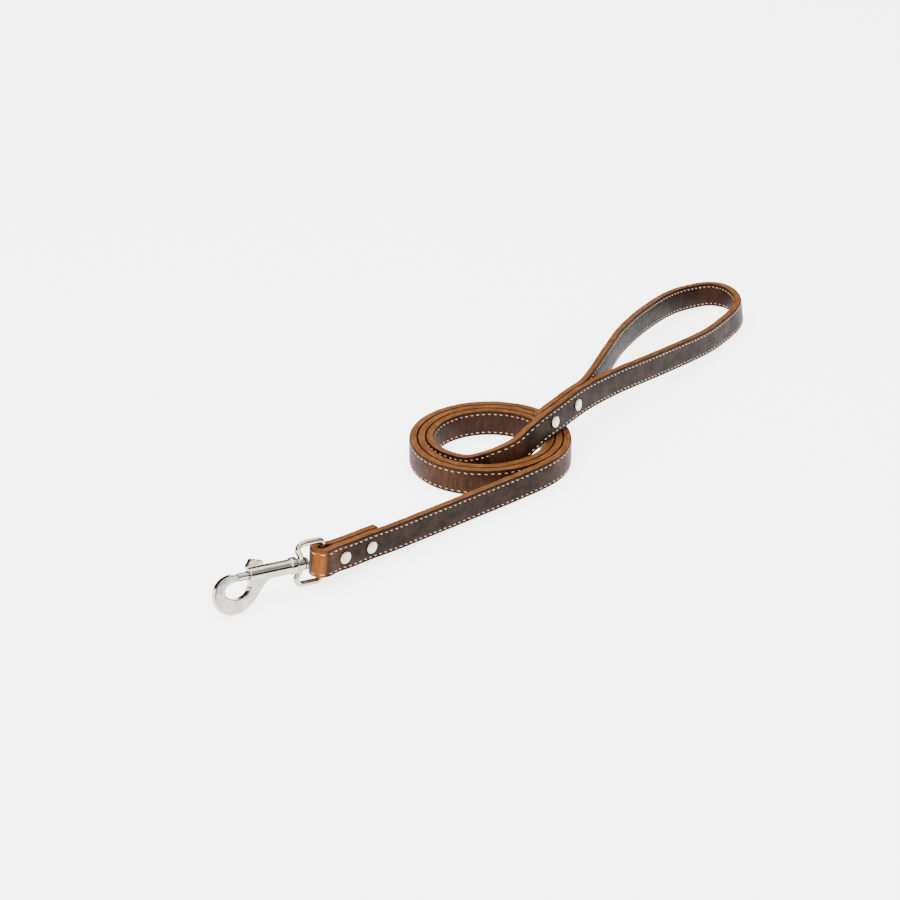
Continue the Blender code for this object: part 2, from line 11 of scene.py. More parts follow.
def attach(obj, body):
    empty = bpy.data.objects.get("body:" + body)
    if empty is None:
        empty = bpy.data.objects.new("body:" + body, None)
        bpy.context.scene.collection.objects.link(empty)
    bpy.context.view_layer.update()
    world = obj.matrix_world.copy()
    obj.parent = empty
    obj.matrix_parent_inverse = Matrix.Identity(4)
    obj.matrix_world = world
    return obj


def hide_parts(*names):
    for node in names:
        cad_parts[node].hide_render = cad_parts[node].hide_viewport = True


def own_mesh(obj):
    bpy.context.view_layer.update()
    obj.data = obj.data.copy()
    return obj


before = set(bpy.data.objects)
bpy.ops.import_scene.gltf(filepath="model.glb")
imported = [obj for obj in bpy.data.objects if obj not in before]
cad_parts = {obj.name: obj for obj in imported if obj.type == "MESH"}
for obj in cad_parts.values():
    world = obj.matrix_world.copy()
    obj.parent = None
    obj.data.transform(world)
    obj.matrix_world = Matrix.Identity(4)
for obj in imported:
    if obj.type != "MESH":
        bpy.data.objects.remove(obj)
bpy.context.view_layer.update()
rng = np.random.default_rng(7)

MM = 0.001
# ---- sizes of the part, in metres ----
STRAP_WIDTH, PLY, GAP, COIL_GAP = 15.9 * MM, 2.1 * MM, 0.3 * MM, 0.4 * MM
COIL_RADIUS, CROSS_CLEARANCE = 45.15 * MM, 1.7 * MM
BAR_RADIUS, EYE_HEIGHT, EYE_DEPTH, EYE_BOW, FLOOR_GAP = 1.7 * MM, 20.9 * MM, 13.4 * MM, 2.0 * MM, 0.7 * MM
RIVET_HEAD, RIVET_DOME = 3.6 * MM, 1.2 * MM
BARREL_RADIUS, BORE_RADIUS, BARREL_LENGTH = 4.15 * MM, 2.5 * MM, 24.6 * MM
COLLAR_RADIUS, COLLAR_LENGTH, SHANK_RADIUS = 4.9 * MM, 4.2 * MM, 1.5 * MM
HUB_RADIUS, HUB_LENGTH = 3.5 * MM, 4.4 * MM
BOLT_TRAVEL, HOOK_THICKNESS, HOOK_ROLL = 7.0 * MM, 4.4 * MM, 16.0
STEM_RADIUS, STEM_BACK, BOLT_INSIDE = 1.0 * MM, 5.0 * MM, 7.7 * MM
MIDDLE = 2.7  # mm the route's x values are moved by
COIL_TOUCH = np.array([MIDDLE - 29.08, -44.71]) * MM
BAR_PLACE = np.array([MIDDLE - 195.0, -7.6]) * MM
SNAP_HEADING, SNAP_PITCH, LAP_HEADING, DRAW_IN = 156.5, 4.4, -13.0, 9.0 * MM
STRAP = 2 * PLY + GAP
LAP = STRAP + GAP
PITCH = STRAP + COIL_GAP
FOLD_RADIUS = BAR_RADIUS + 1.5 * GAP + STRAP / 2
EYE_CENTRE = EYE_HEIGHT / 2 + BAR_RADIUS
AXIS_HEIGHT = EYE_CENTRE + BAR_RADIUS + FLOOR_GAP
SLOPE = math.tan(math.radians(SNAP_PITCH))
LEAD_OFFSET = 0.625 * LAP
END_LIFT = AXIS_HEIGHT - STRAP_WIDTH / 2
CROSS_HEIGHT = STRAP_WIDTH + CROSS_CLEARANCE
COLLAR_BACK = EYE_DEPTH + HUB_LENGTH / 2 + GAP
COLLAR_FRONT = COLLAR_BACK + COLLAR_LENGTH
BARREL_FRONT = COLLAR_FRONT + BARREL_LENGTH
NOSE = BARREL_FRONT + BOLT_TRAVEL
STEM_PLACE = BARREL_FRONT - STEM_BACK
SPRING_WIRE, SPRING_TURNS, FLANGE = 0.3 * MM, 7, 1.6 * MM
SPRING_START = COLLAR_FRONT + 2 * GAP + FLANGE + SPRING_WIRE
SPRING_END = BARREL_FRONT - BOLT_INSIDE - GAP - SPRING_WIRE

# ---- the strap's route, as in the part: (x mm, y mm, height as a share, lean) ----
LEAD = [
    (-165.0, -16.6, 0.66, 0), (-154.6, -18.9, 0.55, 0), (-140.4, -21.8, 0.42, 0), (-121.6, -25.3, 0.28, 0),
    (-102.6, -29.1, 0.16, 0), (-83.4, -33.0, 0.06, 0), (-64.1, -37.4, 0.0, 0), (-46.5, -41.6, 0.0, 0),
]  # fmt: skip
COIL_START, COIL_END = -98.0, 845.0
COIL_CENTRE = COIL_TOUCH - COIL_RADIUS * np.array(
    [math.cos(math.radians(COIL_START)), math.sin(math.radians(COIL_START))]
)
STEP_IN = (160.0, 258.0)
WAY_OUT = [
    (860, 0.8, 0.0, 0), (875, 2.3, 0.0, 0), (891, 4.1, 0.0, 0), (907, 5.4, 0.03, 0),
    (922, 7.1, 0.11, 1), (936, 7.9, 0.22, 2), (950, 7.5, 0.37, 3),
]  # fmt: skip
NEAR_SIDE = [
    (-32.2, -26.7, 0.60, 4), (-24.5, -28.4, 0.76, 5), (-16.5, -29.4, 0.90, 6), (-8.0, -29.8, 0.97, 7),
    (2.0, -29.9, 1.0, 7), (14.0, -29.4, 1.01, 7), (26.4, -28.6, 1.0, 7), (38.4, -28.0, 0.97, 6),
    (50.3, -27.7, 0.92, 5), (61.6, -27.6, 0.86, 4), (73.2, -27.8, 0.80, 3), (94.7, -28.7, 0.66, 2),
    (117.1, -29.6, 0.51, 2), (140.1, -30.4, 0.36, 2), (163.5, -31.0, 0.22, 2), (182.7, -30.6, 0.12, 3),
    (198.7, -29.2, 0.06, 5), (215.2, -27.3, 0.02, 6),
]  # fmt: skip
LOOP_END = [
    (227.8, -24.5, 0.0, 7), (238.6, -19.1, 0.0, 8), (246.5, -10.6, 0.0, 8), (250.0, -1.0, 0.01, 6),
    (247.2, 6.6, 0.03, 3), (240.2, 11.2, 0.07, 0), (231.5, 13.8, 0.12, -2), (217.5, 15.8, 0.22, -4),
]  # fmt: skip
FAR_SIDE = [
    (203.8, 15.8, 0.32, -4), (189.7, 14.6, 0.41, -4), (173.5, 12.4, 0.51, -3), (157.7, 9.6, 0.61, -3),
    (138.5, 5.3, 0.72, -3), (119.4, 0.3, 0.82, -3), (103.0, -5.0, 0.88, -3), (86.7, -10.5, 0.93, -4),
    (70.5, -16.0, 0.96, -5), (57.5, -20.2, 0.98, -6),
]  # fmt: skip
SNAP_RIVETS = (12.2 * MM, 31.8 * MM)
SNAP_LAP_END = 40.0 * MM
HANDLE_RIVETS = (-1.4 * MM, 24.4 * MM)
HANDLE_LAP_START, HANDLE_LAP_END = 40.0 * MM, -7.0 * MM

# ---- looks only ----
SWELL = 0.11 * MM  # the leather stands this far proud of the CAD's faces
STITCH_PITCH, STITCH_LENGTH, STITCH_ROW = 3.75 * MM, 2.2 * MM, 2.0 * MM


# ---- the strap's path ----
def spline(points, step):
    points = np.asarray(points, float)
    chord = np.linalg.norm(np.diff(points[:, :3], axis=0), axis=1)
    at = np.concatenate([[0.0], np.cumsum(chord)])
    count = len(points)
    matrix = np.eye(count)
    right = np.zeros_like(points)
    for i in range(1, count - 1):
        matrix[i, i - 1 : i + 2] = chord[i - 1], 2 * (chord[i - 1] + chord[i]), chord[i]
        right[i] = 6 * ((points[i + 1] - points[i]) / chord[i] - (points[i] - points[i - 1]) / chord[i - 1])
    bend = np.linalg.solve(matrix, right)
    read = np.linspace(0, at[-1], int(at[-1] / step) + 1)
    i = np.clip(np.searchsorted(at, read, side="right") - 1, 0, count - 2)
    before, after, span = (read - at[i])[:, None], (at[i + 1] - read)[:, None], chord[i][:, None]
    return (
        (bend[i] * after**3 + bend[i + 1] * before**3) / (6 * span)
        + (points[i] / span - bend[i] * span / 6) * after
        + (points[i + 1] / span - bend[i + 1] * span / 6) * before
    )


def frames(path):
    along = np.gradient(path[:, :3], axis=0)
    along /= np.linalg.norm(along, axis=1)[:, None]
    across = np.cross((0, 0, 1.0), along)
    across /= np.linalg.norm(across, axis=1)[:, None]
    up = np.cross(along, across)
    lean = np.radians(path[:, 3])[:, None]
    return along, across * np.cos(lean) - up * np.sin(lean), up * np.cos(lean) + across * np.sin(lean)


def heading(degrees):
    return np.array([math.cos(math.radians(degrees)), math.sin(math.radians(degrees))])


def from_route(route, height):
    return [((MIDDLE + x) * MM, y * MM, share * height, lean) for x, y, share, lean in route]


def coil_radius(degrees):
    turn, within = divmod(degrees, 360)
    share = min(max((within - STEP_IN[0]) / (STEP_IN[1] - STEP_IN[0]), 0), 1)
    return COIL_RADIUS - PITCH * (turn + share * share * (3 - 2 * share))


def about_coil(degrees, radius):
    return COIL_CENTRE + radius * heading(degrees)


def coil_path():
    count = int((COIL_END - COIL_START) / 12)
    turned_by = [d + 360 for d in np.linspace(COIL_START, COIL_END, count)]
    return [(*about_coil(d, coil_radius(d) + PITCH), 0.0, 0.0) for d in turned_by]


def way_out():
    inner = coil_radius(COIL_END + 360) + PITCH
    return [
        (*about_coil(degrees, inner - drop * MM), share * CROSS_HEIGHT, lean)
        for degrees, drop, share, lean in WAY_OUT
    ]


def bar_foot():
    return BAR_PLACE + SLOPE * STRAP_WIDTH / 2 * heading(SNAP_HEADING)


def fold_path():
    points = []
    for turn in range(0, 181, 30):
        back = math.sin(math.radians(turn))
        place = bar_foot() + FOLD_RADIUS * heading(LAP_HEADING + 90 + turn)
        points.append((*place, END_LIFT + SLOPE * FOLD_RADIUS * back, SNAP_PITCH * back))
    return points


def beside_bar(side, offset, shares):
    along, across = heading(LAP_HEADING), heading(LAP_HEADING + side * 90)
    points = []
    for share in shares:
        drawn = min(share, 1)
        out = offset + (FOLD_RADIUS - offset) * (1 - drawn * drawn * (3 - 2 * drawn))
        place = bar_foot() + along * share * DRAW_IN + across * out
        points.append((*place, END_LIFT - SLOPE * share * DRAW_IN, 0.0))
    return points


def nearest(path, x, among):
    return among[0] + int(np.argmin(np.abs(path[among[0] : among[1], 0] - MIDDLE * MM - x)))


def strap_path():
    fine = 0.5 * MM
    lead = beside_bar(-1, LEAD_OFFSET, (0.25, 0.5, 0.75, 1.0, 1.4, 1.8)) + from_route(LEAD, END_LIFT)
    loop = way_out() + from_route(NEAR_SIDE + LOOP_END + FAR_SIDE, CROSS_HEIGHT)
    run = spline(fold_path()[-2:] + lead + coil_path() + loop, fine)
    along, across, up = frames(run)
    far = np.cumsum(np.linalg.norm(np.diff(run[:, :3], axis=0), axis=1))
    beside = np.column_stack([run[:, :3] + across * LAP, -run[:, 3]])
    bar_at = int(np.argmin(np.abs(run[:40, 0] - fold_path()[-1][0])))
    ends = [bar_at + int(s / fine) for s in (1.15 * DRAW_IN, SNAP_LAP_END)]
    snap_tail = beside[np.linspace(ends[1], ends[0], 6).astype(int)]
    fold = beside_bar(1, LAP - LEAD_OFFSET, (0.75, 0.5, 0.25)) + fold_path()
    start = int(np.argmax(far > far[-1] - 560 * MM))
    stop = int(np.argmax(run[:, 0]))
    ends = [nearest(run, x, (start, stop)) for x in (HANDLE_LAP_START, HANDLE_LAP_END)]
    loop_tail = beside[np.linspace(ends[0], ends[1], 8).astype(int)]
    whole = spline([*snap_tail, *fold, *lead, *coil_path(), *loop, *loop_tail], fine)
    whole[:, 2] = np.maximum(whole[:, 2], STRAP / 2 * np.abs(np.sin(np.radians(whole[:, 3]))))
    rivets = [bar_at + int(s / fine) for s in SNAP_RIVETS]
    rivets += [nearest(run, x, (start, stop)) for x in HANDLE_RIVETS]
    places = [(run[i, :3] + up[i] * STRAP_WIDTH / 2, along[i], across[i], up[i]) for i in rivets]
    return whole, places


# ---- materials ----
class Nodes:
    """A small helper that adds nodes to a material, and links them."""

    def __init__(self, name):
        self.material = bpy.data.materials.new(name)
        self.material.use_nodes = True
        self.tree = self.material.node_tree
        self.shader = self.tree.nodes["Principled BSDF"]

    def add(self, kind, inputs=(), **settings):
        node = self.tree.nodes.new("ShaderNode" + kind)
        for key, value in settings.items():
            setattr(node, key, value)
        for key, value in dict(inputs).items():
            self.put(node.inputs[key], value)
        return node

    def put(self, socket, value):
        if isinstance(value, bpy.types.NodeSocket):
            self.tree.links.new(value, socket)
        else:
            socket.default_value = value

    def set(self, **values):
        for key, value in values.items():
            self.put(self.shader.inputs[key.replace("_", " ")], value)

    def noise(self, vector, scale, detail=3.0, roughness=0.6, stretch=None):
        if stretch:
            vector = self.add("Mapping", {"Vector": vector, "Scale": stretch}).outputs[0]
        settings = {"Vector": vector, "Scale": scale, "Detail": detail, "Roughness": roughness}
        return self.add("TexNoise", settings).outputs["Fac"]

    def ramp(self, value, *stops):
        node = self.add("ValToRGB", {"Fac": value})
        ramp = node.color_ramp
        while len(ramp.elements) < len(stops):
            ramp.elements.new(0.5)
        for element, (place, colour) in zip(ramp.elements, stops):
            element.position = place
            element.color = (*colour, 1) if not isinstance(colour, float) else (colour, colour, colour, 1)
        return node.outputs["Color"]

    def mix(self, share, a, b, blend="MIX"):
        node = self.add("Mix", data_type="RGBA", blend_type=blend)
        self.put(node.inputs["Factor"], share)
        self.put(node.inputs["A"], a if isinstance(a, bpy.types.NodeSocket) else (*a, 1))
        self.put(node.inputs["B"], b if isinstance(b, bpy.types.NodeSocket) else (*b, 1))
        return node.outputs["Result"]

    def maths(self, operation, *values, clamp=False):
        node = self.add("Math", operation=operation, use_clamp=clamp)
        for socket, value in zip(node.inputs, values):
            self.put(socket, value)
        return node.outputs[0]

    def bump(self, height, distance, strength=1.0, normal=None):
        node = self.add("Bump", {"Height": height, "Distance": distance, "Strength": strength})
        if normal:
            self.put(node.inputs["Normal"], normal)
        return node.outputs[0]


def leather(name, dark, mid, warm, pulled):
    """Pull-up leather: near black with redder patches, lighter where it's bent, darker along its rounded
    edges, with painted shade round the rivets. Its uv is in metres.
    """
    made = Nodes(name)
    uv = made.add("UVMap", uv_map="strap").outputs[0]
    stored = made.add("Attribute", attribute_name="wear_and_rivet_shade").outputs["Color"]
    wear_and_rivet_shade = made.add("SeparateColor", {"Color": stored})
    bent, folded, edge = wear_and_rivet_shade.outputs[0], wear_and_rivet_shade.outputs[1], wear_and_rivet_shade.outputs[2]
    patches = made.noise(uv, 1.0, 5.0, 0.62, (85, 110, 1))
    speckle = made.noise(uv, 1.0, 6.0, 0.75, (420, 330, 1))
    blotch = made.maths("MULTIPLY_ADD", speckle, 0.55, made.maths("MULTIPLY", patches, 0.45))
    base = made.ramp(blotch, (0.43, dark), (0.57, mid))
    wrinkle = made.noise(uv, 1.0, 6.0, 0.68, (620, 90, 1))
    streaks = made.ramp(wrinkle, (0.43, 0.0), (0.57, 1.0))
    cloud = made.ramp(made.noise(uv, 1.0, 3.0, 0.5, (45, 60, 1)), (0.36, 0.35), (0.68, 1.0))
    share = made.maths("MULTIPLY", bent, made.maths("MULTIPLY_ADD", streaks, 0.65, 0.38))
    share = made.maths("MULTIPLY", share, cloud, clamp=True)
    colour = made.mix(share, base, warm)
    light = made.maths("MULTIPLY", folded, made.maths("MULTIPLY_ADD", streaks, 0.3, 0.75), clamp=True)
    colour = made.mix(light, colour, pulled)
    # the blue channel darkens the leather along its rounded edges and paints shade in a ring round each
    # rivet
    colour = made.mix(made.maths("MULTIPLY", edge, 0.55), colour, dark)
    object_place = made.add("TexCoord").outputs["Object"]
    fibre = made.noise(object_place, 2600.0, 3.0, 0.6)
    colour = made.mix(made.ramp(fibre, (0.35, 0.0), (0.75, 0.3)), colour, mid)
    settings = {"Vector": object_place, "Scale": 1500.0, "Randomness": 1.0}
    cells = made.add("TexVoronoi", settings, feature="DISTANCE_TO_EDGE")
    pores = made.ramp(cells.outputs["Distance"], (0.0, 0.0), (0.16, 1.0))
    normal = made.bump(pores, 0.00005, 0.55)
    normal = made.bump(wrinkle, 0.00022, made.maths("MULTIPLY_ADD", bent, 0.55, 0.25), normal)
    normal = made.bump(made.noise(uv, 1.0, 2.0, 0.5, (150, 120, 1)), 0.0004, 0.5, normal)
    made.set(Base_Color=colour, Normal=normal)
    made.set(Roughness=made.ramp(patches, (0.3, 0.58), (0.75, 0.44)))
    made.shader.inputs["IOR"].default_value = 1.15
    return made.material


def raw_edge(name):
    """The cut edge: tan fibres, rubbed smooth, redder and darker in places."""
    made = Nodes(name)
    uv = made.add("UVMap", uv_map="strap").outputs[0]
    place = made.add("TexCoord").outputs["Object"]
    patches = made.noise(uv, 1.0, 4.0, 0.6, (140, 300, 1))
    dark, tan, light = (0.08, 0.026, 0.0055), (0.155, 0.054, 0.0115), (0.25, 0.1, 0.033)
    colour = made.ramp(patches, (0.28, dark), (0.5, tan), (0.76, light))
    fibre = made.noise(place, 3200.0, 4.0, 0.7)
    colour = made.mix(made.ramp(fibre, (0.42, 0.0), (0.72, 0.6)), colour, (0.06, 0.018, 0.0045))
    normal = made.bump(fibre, 0.00012, 0.6)
    made.set(Base_Color=colour, Normal=normal, Roughness=made.ramp(fibre, (0.3, 0.5), (0.7, 0.7)))
    made.shader.inputs["IOR"].default_value = 1.2
    return made.material


def thread():
    """Waxed cream thread: two strands twisted together."""
    made = Nodes("waxed_thread")
    place = made.add("TexCoord").outputs["Object"]
    soil = made.noise(place, 500.0, 3.0, 0.6)
    soiled, cream, clean = (0.34, 0.18, 0.08), (0.54, 0.35, 0.19), (0.7, 0.52, 0.34)
    colour = made.ramp(soil, (0.25, soiled), (0.5, cream), (0.8, clean))
    settings = {"Vector": place, "Scale": 1400.0, "Distortion": 2.5, "Detail": 2.0}
    twist = made.add("TexWave", settings).outputs["Fac"]
    made.set(Base_Color=colour, Roughness=0.62, Normal=made.bump(twist, 0.0001, 0.35))
    made.shader.inputs["Sheen Weight"].default_value = 0.2
    return made.material


def metal(name, light, dull, rough, smooth):
    """Plated metal: a bright colour, faint cloudiness, and hairline wear in its gloss."""
    made = Nodes(name)
    place = made.add("TexCoord").outputs["Object"]
    cloud = made.noise(place, 160.0, 4.0, 0.6)
    fine = made.noise(place, 2400.0, 2.0, 0.5)
    made.set(Base_Color=made.ramp(cloud, (0.3, dull), (0.72, light)), Metallic=1.0)
    made.set(Roughness=made.ramp(cloud, (0.3, rough), (0.7, smooth)))
    normal = made.bump(fine, 0.00002, 0.18)
    made.set(Normal=made.bump(made.noise(place, 230.0, 2.0, 0.5), 0.00022, 0.22, normal))
    return made.material


FACE = leather(
    "pull_up_leather",
    dark=(0.0028, 0.0017, 0.0011), mid=(0.0195, 0.0072, 0.0034),
    warm=(0.066, 0.0235, 0.009), pulled=(0.185, 0.058, 0.012),
)  # fmt: skip
LINING = leather(
    "pull_up_lining",
    dark=(0.003, 0.0018, 0.0012), mid=(0.018, 0.007, 0.0034),
    warm=(0.042, 0.0155, 0.0068), pulled=(0.17, 0.054, 0.013),
)  # fmt: skip
EDGE = raw_edge("raw_leather_edge")
THREAD = thread()
NICKEL = metal("cast_nickel", (0.42, 0.39, 0.335), (0.30, 0.275, 0.23), 0.11, 0.05)
CAP = metal("rivet_nickel", (0.56, 0.50, 0.37), (0.34, 0.28, 0.185), 0.3, 0.2)
STEEL = metal("spring_wire", (0.60, 0.60, 0.61), (0.45, 0.45, 0.46), 0.35, 0.25)


# ---- meshes ----
def new_object(name, bm, *materials, smooth=50.0):
    bmesh.ops.recalc_face_normals(bm, faces=bm.faces[:])
    mesh = bpy.data.meshes.new(name)
    bm.to_mesh(mesh)
    bm.free()
    for each in materials:
        mesh.materials.append(each)
    mesh.shade_smooth()
    mesh.set_sharp_from_angle(angle=math.radians(smooth))
    ob = bpy.data.objects.new(name, mesh)
    bpy.context.scene.collection.objects.link(ob)
    return ob


def smooth_step(value, low, high):
    share = np.clip((value - low) / (high - low), 0, 1)
    return share * share * (3 - 2 * share)


def ply_profile(inner, outer):
    """One leather's section, as (out from the strap's middle, up, edge share), in metres."""
    soft, crisp = 0.75 * MM, 0.03 * MM
    half = STRAP_WIDTH / 2
    points = [(inner, 0.0, 0.0), (inner, -half + crisp, 0.0)]
    points += [(inner + crisp * 0.3, -half + crisp * 0.3, 1.0), (inner + crisp, -half, 1.0)]
    points += [((inner + outer - soft) / 2, -half - 0.05 * MM, 1.0), (outer - soft, -half, 1.0)]
    for turn in (22, 45, 68):
        t = math.radians(turn)
        points.append((outer - soft + soft * math.sin(t), -half + soft - soft * math.cos(t), 1.0))
    row = half - STITCH_ROW
    points.append((outer, -half + soft, 0.8))
    rows = [(-row - 0.55 * MM, 0.0), (-row - 0.22 * MM, -0.11 * MM), (-row, -0.15 * MM)]
    rows += [(-row + 0.25 * MM, -0.11 * MM), (-row + 0.8 * MM, 0.0), (-row + 2.6 * MM, 0.06 * MM)]
    rows.append((0.0, 0.08 * MM))
    points += [(outer + deep, up, 0.0) for up, deep in rows]
    upper = [(o, -u, e) for o, u, e in points[1:-1][::-1]]
    return points + upper


def strap_ply(name, material, path, side, rivets):
    """The ribbon of one leather along the whole route, with its wear, its edge share, painted shade round
    the rivets and its metres stored on it.
    """
    inner, outer = 0.0, STRAP / 2 + SWELL
    along, across, up = frames(path)
    step = np.linalg.norm(np.diff(path[:, :3], axis=0), axis=1)
    far = np.concatenate([[0.0], np.cumsum(step)])
    turning = np.gradient(np.unwrap(np.arctan2(along[:, 1], along[:, 0])), far)
    bend = np.abs(turning)
    keep = [0]
    for i in range(1, len(path) - 1):
        gone = far[i] - far[keep[-1]]
        if gone >= min(1.5 * MM, max(0.5 * MM, 0.09 / max(bend[i], 1e-6))):
            keep.append(i)
    keep.append(len(path) - 1)
    keep = np.array(keep)
    profile = np.array(ply_profile(inner, outer))
    bm = bmesh.new()
    uv_layer = bm.loops.layers.uv.new("strap")
    colour = bm.verts.layers.float_color.new("wear_and_rivet_shade")
    wave = 0.05 * MM * (np.sin(far * 370) + np.sin(far * 911 + side) * 0.6)
    rings = []
    for i in keep:
        middle = path[i, :3] + up[i] * STRAP_WIDTH / 2
        ring = []
        coil = smooth_step(bend[i], 8.0, 20.0) * (1 - smooth_step(bend[i], 60.0, 110.0) * 0.4)
        turn = math.degrees(math.atan2(along[i, 1], along[i, 0])) - LAP_HEADING - 180
        fold = 0.0
        if far[i] < SNAP_LAP_END + 6 * FOLD_RADIUS:
            turn %= 360
            fold = smooth_step(turn, 82, 104) * (1 - smooth_step(turn, 150, 172))
        for out, high, edge in profile:
            near = 0.0
            place = middle + across[i] * side * out + up[i] * (high + wave[i] * (high > 0))
            for rivet, _, over, _ in rivets:
                reach = np.linalg.norm(place - rivet - over * (over @ (place - rivet)))
                near = max(near, 1 - smooth_step(reach, RIVET_HEAD * 0.9, RIVET_HEAD * 1.35))
            if out > outer - 0.2 * MM:
                place = place - across[i] * side * 0.14 * MM * near
            vert = bm.verts.new(place)
            # red is bending, green the fold, blue the edge share and painted shade round each rivet
            vert[colour] = (coil, fold, max(0.75 * edge, 0.9 * near), 1)
            ring.append(vert)
        rings.append(ring)
    count = len(profile)
    cut = np.zeros(count, bool)
    for j in range(count):
        k = (j + 1) % count
        mid = (profile[j] + profile[k]) / 2
        cut[j] = abs(mid[1]) > STRAP_WIDTH / 2 - 0.3 * MM and mid[0] < outer - 0.45 * MM
    for (a, i), (b, i2) in zip(zip(rings, keep), zip(rings[1:], keep[1:])):
        for j in range(count):
            k = (j + 1) % count
            face = bm.faces.new((a[j], a[k], b[k], b[j]))
            face.material_index = int(cut[j])
            for loop, (place, row) in zip(face.loops, ((i, j), (i, k), (i2, k), (i2, j))):
                loop[uv_layer].uv = (far[place], profile[row][1] + profile[row][0] + side * 0.05)
    for ring in (rings[0][::-1], rings[-1]):
        face = bm.faces.new(ring)
        face.material_index = 1
    return new_object(name, bm, material, EDGE, smooth=60.0)


def stitches(path, rivets):
    """Each stitch, on both faces and in both rows, as a bow of thread that dips into its holes."""
    along, across, up = frames(path)
    far = np.concatenate([[0.0], np.cumsum(np.linalg.norm(np.diff(path[:, :3], axis=0), axis=1))])
    bm = bmesh.new()
    total = int((far[-1] - 6 * MM) / STITCH_PITCH)
    face_out = STRAP / 2 + SWELL - 0.15 * MM
    sides, sections = 8, 7
    for number in range(total):
        at = 3 * MM + number * STITCH_PITCH
        i = int(np.searchsorted(far, at))
        for side in (-1, 1):
            for row in (-1, 1):
                wobble = rng.normal(0, 1, 4)
                level = row * (STRAP_WIDTH / 2 - STITCH_ROW) + 0.06 * MM * wobble[0]
                length = STITCH_LENGTH * (1 + 0.05 * wobble[1])
                slant = math.radians(7 * side + 3 * wobble[2])
                start, stop = at - length / 2, at + length / 2
                spots = np.linspace(-1, 1, sections)
                rings = []
                for spot in spots:
                    where = np.interp(at + spot * length / 2, far, np.arange(len(far)))
                    low = int(min(max(where, 0), len(far) - 2))
                    share = where - low
                    base = path[low, :3] * (1 - share) + path[low + 1, :3] * share
                    t, n, u = along[low], across[low] * side, up[low]
                    swell = (1 - abs(spot) ** 3.2) ** 0.5 if abs(spot) < 1 else 0.0
                    radius = 0.28 * MM * max(swell, 0.28)
                    lift = 0.2 * MM * (1 - spot**4) - 0.36 * MM * spot**8 - 0.06 * MM
                    centre = base + u * (STRAP_WIDTH / 2 + level + math.tan(slant) * spot * length / 2)
                    centre = centre + n * (face_out + lift)
                    ring = []
                    for turn in range(sides):
                        angle = 2 * math.pi * turn / sides
                        outward = math.cos(angle) * u + 0.85 * math.sin(angle) * n
                        ring.append(bm.verts.new(centre + radius * outward))
                    rings.append(ring)
                for a, b in zip(rings, rings[1:]):
                    for j in range(sides):
                        k = (j + 1) % sides
                        bm.faces.new((a[j], a[k], b[k], b[j]))
                bm.faces.new(rings[0][::-1])
                bm.faces.new(rings[-1])
    return new_object("stitches", bm, THREAD, smooth=80.0)


def turned(profile, sides=64):
    bm = bmesh.new()
    loops = []
    for x, radius in profile:
        if radius == 0:
            loops.append([bm.verts.new((x, 0, 0))])
            continue
        turn = np.linspace(0, 2 * math.pi, sides, endpoint=False)
        loops.append([bm.verts.new((x, radius * math.cos(t), radius * math.sin(t))) for t in turn])
    for a, b in zip(loops, loops[1:]):
        for i in range(sides):
            j = (i + 1) % sides
            corners = [a[i % len(a)], a[j % len(a)], b[j % len(b)], b[i % len(b)]]
            bm.faces.new(list(dict.fromkeys(corners)))
    return bm


def placed(ob, matrix):
    """Moves the mesh itself, so that the object stays at the origin."""
    ob.data.transform(matrix)
    return ob


def rivet(name, place):
    """Two low-domed caps with upright rims, riding on the strap in place of the CAD's caps."""
    middle, along, across, up = place
    turn = Matrix((Vector(across), Vector(up), Vector(np.cross(across, up)))).transposed().to_4x4()
    seat = Matrix.Translation(Vector(middle)) @ turn
    skin = STRAP / 2 + SWELL
    halves = (-1, "cap", skin, RIVET_DOME), (1, "back", skin + LAP, 0.8 * RIVET_DOME)
    for side, word, level, dome in halves:
        sunk = level - 0.04 * MM
        rim = ((-0.4, 0), (-0.4, 0.8), (0, 0.93), (0.15, 0.99), (0.4, 1), (0.62, 0.99), (0.76, 0.965))
        profile = [(side * (sunk + rise * MM), RIVET_HEAD * share) for rise, share in rim]
        for share in (0.91, 0.8, 0.66, 0.5, 0.34, 0.17):
            rise = 0.8 * MM + (dome - 0.7 * MM) * (1 - share**2)
            profile.append((side * (sunk + rise), RIVET_HEAD * share))
        profile.append((side * (sunk + 0.8 * MM + dome - 0.7 * MM), 0))
        piece = placed(new_object(f"{name}_{word}_domed", turned(profile, 56), CAP, smooth=50.0), seat)
        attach(piece, "strap")
        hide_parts(f"{name}_{word}")


def curve_through(points, per_span):
    points = np.asarray(points, float)
    made = []
    for i in range(len(points) - 1):
        a, b, c, d = points[max(i - 1, 0)], points[i], points[i + 1], points[min(i + 2, len(points) - 1)]
        for t in np.linspace(0, 1, per_span, endpoint=False):
            bent = (2 * a - 5 * b + 4 * c - d) * t**2 + (3 * b - a - 3 * c + d) * t**3
            made.append(0.5 * (2 * b + (c - a) * t + bent))
    made.append(points[-1])
    return np.array(made)


def plate(outline, thickness):
    bm = bmesh.new()
    face = bm.faces.new([bm.verts.new((x, y, -thickness / 2)) for x, y in outline])
    raised = bmesh.ops.extrude_face_region(bm, geom=[face])["geom"]
    moved = [v for v in raised if isinstance(v, bmesh.types.BMVert)]
    bmesh.ops.translate(bm, vec=(0, 0, thickness), verts=moved)
    return bm


def block(low, high):
    bm = bmesh.new()
    low, high = Vector(low), Vector(high)
    place = Matrix.Translation((low + high) / 2) @ Matrix.Diagonal((*(high - low), 1))
    bmesh.ops.create_cube(bm, size=1.0, matrix=place)
    return bm


def cut(ob, tool, operation="DIFFERENCE"):
    made = ob.modifiers.new(tool.name, "BOOLEAN")
    made.operation = operation
    made.solver = "EXACT"
    made.object = tool


